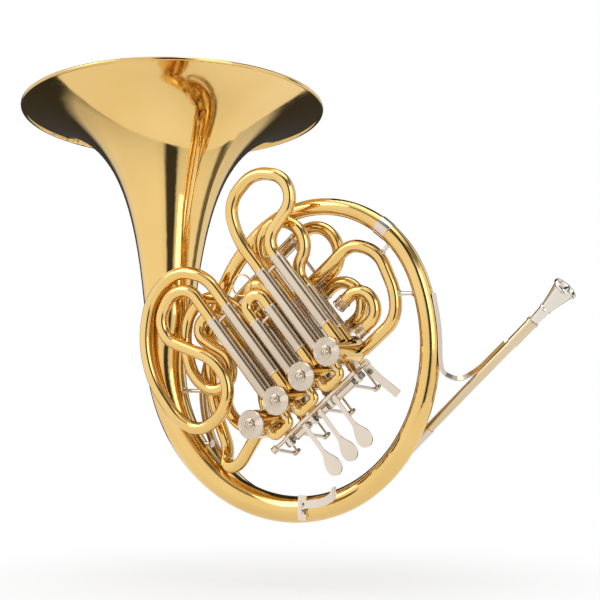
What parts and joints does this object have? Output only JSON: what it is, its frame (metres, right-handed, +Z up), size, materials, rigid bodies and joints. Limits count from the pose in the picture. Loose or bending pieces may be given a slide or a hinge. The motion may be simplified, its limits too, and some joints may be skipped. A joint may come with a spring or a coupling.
{
  "type": "french horn",
  "caption": "Double french horn: flared bell, coiled tapering tube, rotary valves with levers and links, pull-out tuning slides and a detachable mouthpiece.",
  "frame": {"origin": "middle of the main ring, where the left hand holds the horn", "axes": "+Z up along the bell, +X towards the mouthpiece, +Y to the back where the rotor linkage is"},
  "size_m": [0.618, 0.3071, 0.4563],
  "materials": {
    "lacquered_brass": "polished, clear gold lacquer",
    "nickel_sleeve": "satin nickel silver, drawn lengthwise",
    "turned_nickel": "fine turned nickel silver",
    "nickel_silver": "polished nickel silver",
    "silver_plate": "bright silver plate",
    "spring_steel": "oiled steel"
  },
  "bodies": {
    "horn": {"bb_tuning_sleeves": "nickel_sleeve", "bell_flare": "lacquered_brass", "bell_tail": "lacquered_brass", "bow_ferrules": "nickel_silver", "branch_elbow": "lacquered_brass", "carriage_rail": "nickel_silver", "f_branch_loop": "lacquered_brass", "f_feed_tube": "lacquered_brass", "f_tuning_sleeves": "nickel_sleeve", "finger_hook_base": "nickel_silver", "first_branch": "lacquered_brass", "front_sleeves": "nickel_sleeve", "hinge_rod": "spring_steel", "leadpipe": "lacquered_brass", "leadpipe_brace": "nickel_silver", "leadpipe_guard": "nickel_silver", "lever_posts": "nickel_silver", "main_return_tube": "lacquered_brass", "main_tuning_sleeves": "nickel_sleeve", "mouthpipe_receiver": "lacquered_brass", "rear_sleeves": "nickel_sleeve", "return_springs": "spring_steel", "ring_braces": "nickel_silver", "tail_ferrule": "nickel_silver", "valve_1_casing": "lacquered_brass", "valve_2_casing": "lacquered_brass", "valve_3_casing": "lacquered_brass", "valve_4_casing": "lacquered_brass", "valve_back_plates": "turned_nickel", "valve_bows": "lacquered_brass", "valve_caps": "turned_nickel", "valve_knuckles": "lacquered_brass"},
    "f1_slide": {"f1_slide": "lacquered_brass"},
    "f2_slide": {"f2_slide": "lacquered_brass"},
    "f3_slide": {"f3_slide": "lacquered_brass"},
    "bb1_slide": {"bb1_slide": "lacquered_brass"},
    "bb2_slide": {"bb2_slide": "lacquered_brass"},
    "bb3_slide": {"bb3_slide": "lacquered_brass"},
    "main_tuning_slide": {"main_tuning_slide": "lacquered_brass"},
    "f_tuning_slide": {"f_tuning_slide": "lacquered_brass"},
    "bb_tuning_slide": {"bb_tuning_slide": "lacquered_brass"},
    "lever_1": {"lever_1": "nickel_silver"},
    "link_1": {"link_1": "nickel_silver"},
    "rotor_1": {"valve_1_rotor": "lacquered_brass", "valve_1_stop_arm": "nickel_silver"},
    "lever_2": {"lever_2": "nickel_silver"},
    "link_2": {"link_2": "nickel_silver"},
    "rotor_2": {"valve_2_rotor": "lacquered_brass", "valve_2_stop_arm": "nickel_silver"},
    "lever_3": {"lever_3": "nickel_silver"},
    "link_3": {"link_3": "nickel_silver"},
    "rotor_3": {"valve_3_rotor": "lacquered_brass", "valve_3_stop_arm": "nickel_silver"},
    "thumb_lever": {"thumb_lever": "nickel_silver"},
    "link_4": {"link_4": "nickel_silver"},
    "rotor_4": {"valve_4_rotor": "lacquered_brass", "valve_4_stop_arm": "nickel_silver"},
    "mouthpiece": {"mouthpiece": "silver_plate"},
    "finger_hook": {"finger_hook": "nickel_silver"}
  },
  "joints": [
    {"name": "f1_slide_pull", "type": "slide", "parent": "horn", "child": "f1_slide", "axis": [-0.6494, 0, 0.7604], "range_m": [0, 0.03]},
    {"name": "f2_slide_pull", "type": "slide", "parent": "horn", "child": "f2_slide", "axis": [-0.6494, 0, 0.7604], "range_m": [0, 0.03]},
    {"name": "f3_slide_pull", "type": "slide", "parent": "horn", "child": "f3_slide", "axis": [-0.6494, 0, 0.7604], "range_m": [0, 0.03]},
    {"name": "bb1_slide_pull", "type": "slide", "parent": "horn", "child": "bb1_slide", "axis": [-0.6494, 0, 0.7604], "range_m": [0, 0.03]},
    {"name": "bb2_slide_pull", "type": "slide", "parent": "horn", "child": "bb2_slide", "axis": [-0.6494, 0, 0.7604], "range_m": [0, 0.03]},
    {"name": "bb3_slide_pull", "type": "slide", "parent": "horn", "child": "bb3_slide", "axis": [-0.6494, 0, 0.7604], "range_m": [0, 0.006]},
    {"name": "main_tuning_slide_pull", "type": "slide", "parent": "horn", "child": "main_tuning_slide", "axis": [0.7604, 0, 0.6494], "range_m": [0, 0.02]},
    {"name": "f_tuning_slide_pull", "type": "slide", "parent": "horn", "child": "f_tuning_slide", "axis": [0.7604, 0, 0.6494], "range_m": [0, 0.018]},
    {"name": "bb_tuning_slide_pull", "type": "slide", "parent": "horn", "child": "bb_tuning_slide", "axis": [0.7604, 0, 0.6494], "range_m": [0, 0.005]},
    {"name": "lever_1_press", "type": "hinge", "parent": "horn", "child": "lever_1", "pos_m": [0.07258, -0.014, -0.0198], "axis": [0.7604, 0, 0.6494], "range_deg": [0, 19.39], "stiffness_Nm_per_rad": 0.06, "springref_deg": -28.65},
    {"name": "link_1_pivot", "type": "hinge", "parent": "lever_1", "child": "link_1", "pos_m": [0.07717, 0.0274, -0.02518], "axis": [0.7604, 0, 0.6494], "range_deg": [-19.89, 0.5]},
    {"name": "rotor_1_turn", "type": "hinge", "parent": "horn", "child": "rotor_1", "pos_m": [0.0581, 0, 0.01254], "axis": [0, 1, 0], "range_deg": [-0.5, 90.5]},
    {"name": "lever_2_press", "type": "hinge", "parent": "horn", "child": "lever_2", "pos_m": [0.04444, -0.014, -0.04383], "axis": [0.7604, 0, 0.6494], "range_deg": [0, 19.39], "stiffness_Nm_per_rad": 0.06, "springref_deg": -28.65},
    {"name": "link_2_pivot", "type": "hinge", "parent": "lever_2", "child": "link_2", "pos_m": [0.04904, 0.0274, -0.04921], "axis": [0.7604, 0, 0.6494], "range_deg": [-19.89, 0.5]},
    {"name": "rotor_2_turn", "type": "hinge", "parent": "horn", "child": "rotor_2", "pos_m": [0.02997, 0, -0.01149], "axis": [0, 1, 0], "range_deg": [-0.5, 90.5]},
    {"name": "lever_3_press", "type": "hinge", "parent": "horn", "child": "lever_3", "pos_m": [0.01631, -0.014, -0.06786], "axis": [0.7604, 0, 0.6494], "range_deg": [0, 19.39], "stiffness_Nm_per_rad": 0.06, "springref_deg": -28.65},
    {"name": "link_3_pivot", "type": "hinge", "parent": "lever_3", "child": "link_3", "pos_m": [0.0209, 0.0274, -0.07324], "axis": [0.7604, 0, 0.6494], "range_deg": [-19.89, 0.5]},
    {"name": "rotor_3_turn", "type": "hinge", "parent": "horn", "child": "rotor_3", "pos_m": [0.00183, 0, -0.03551], "axis": [0, 1, 0], "range_deg": [-0.5, 90.5]},
    {"name": "thumb_lever_press", "type": "hinge", "parent": "horn", "child": "thumb_lever", "pos_m": [-0.01767, -0.004, -0.08505], "axis": [0.7604, 0, 0.6494], "range_deg": [0, 25.53], "stiffness_Nm_per_rad": 0.06, "springref_deg": -28.65},
    {"name": "link_4_pivot", "type": "hinge", "parent": "thumb_lever", "child": "link_4", "pos_m": [-0.01308, 0.02721, -0.09043], "axis": [0.7604, 0, 0.6494], "range_deg": [-26.03, 0.5]},
    {"name": "rotor_4_turn", "type": "hinge", "parent": "horn", "child": "rotor_4", "pos_m": [-0.0263, 0, -0.05954], "axis": [0, 1, 0], "range_deg": [-0.5, 90.5]},
    {"name": "mouthpiece_pull", "type": "slide", "parent": "horn", "child": "mouthpiece", "axis": [0.7249, 0, 0.6889], "range_m": [0, 0.025]},
    {"name": "finger_hook_adjust", "type": "slide", "parent": "horn", "child": "finger_hook", "axis": [0, 0, 1], "range_m": [-0.004, 0.004]}
  ],
  "couplings": [
    {"joint": "link_1_pivot", "follows": "lever_1_press", "ratio": -1},
    {"joint": "rotor_1_turn", "follows": "lever_1_press", "ratio": 4.6428},
    {"joint": "link_2_pivot", "follows": "lever_2_press", "ratio": -1},
    {"joint": "rotor_2_turn", "follows": "lever_2_press", "ratio": 4.6428},
    {"joint": "link_3_pivot", "follows": "lever_3_press", "ratio": -1},
    {"joint": "rotor_3_turn", "follows": "lever_3_press", "ratio": 4.6428},
    {"joint": "link_4_pivot", "follows": "thumb_lever_press", "ratio": -1},
    {"joint": "rotor_4_turn", "follows": "thumb_lever_press", "ratio": 3.525}
  ]
}
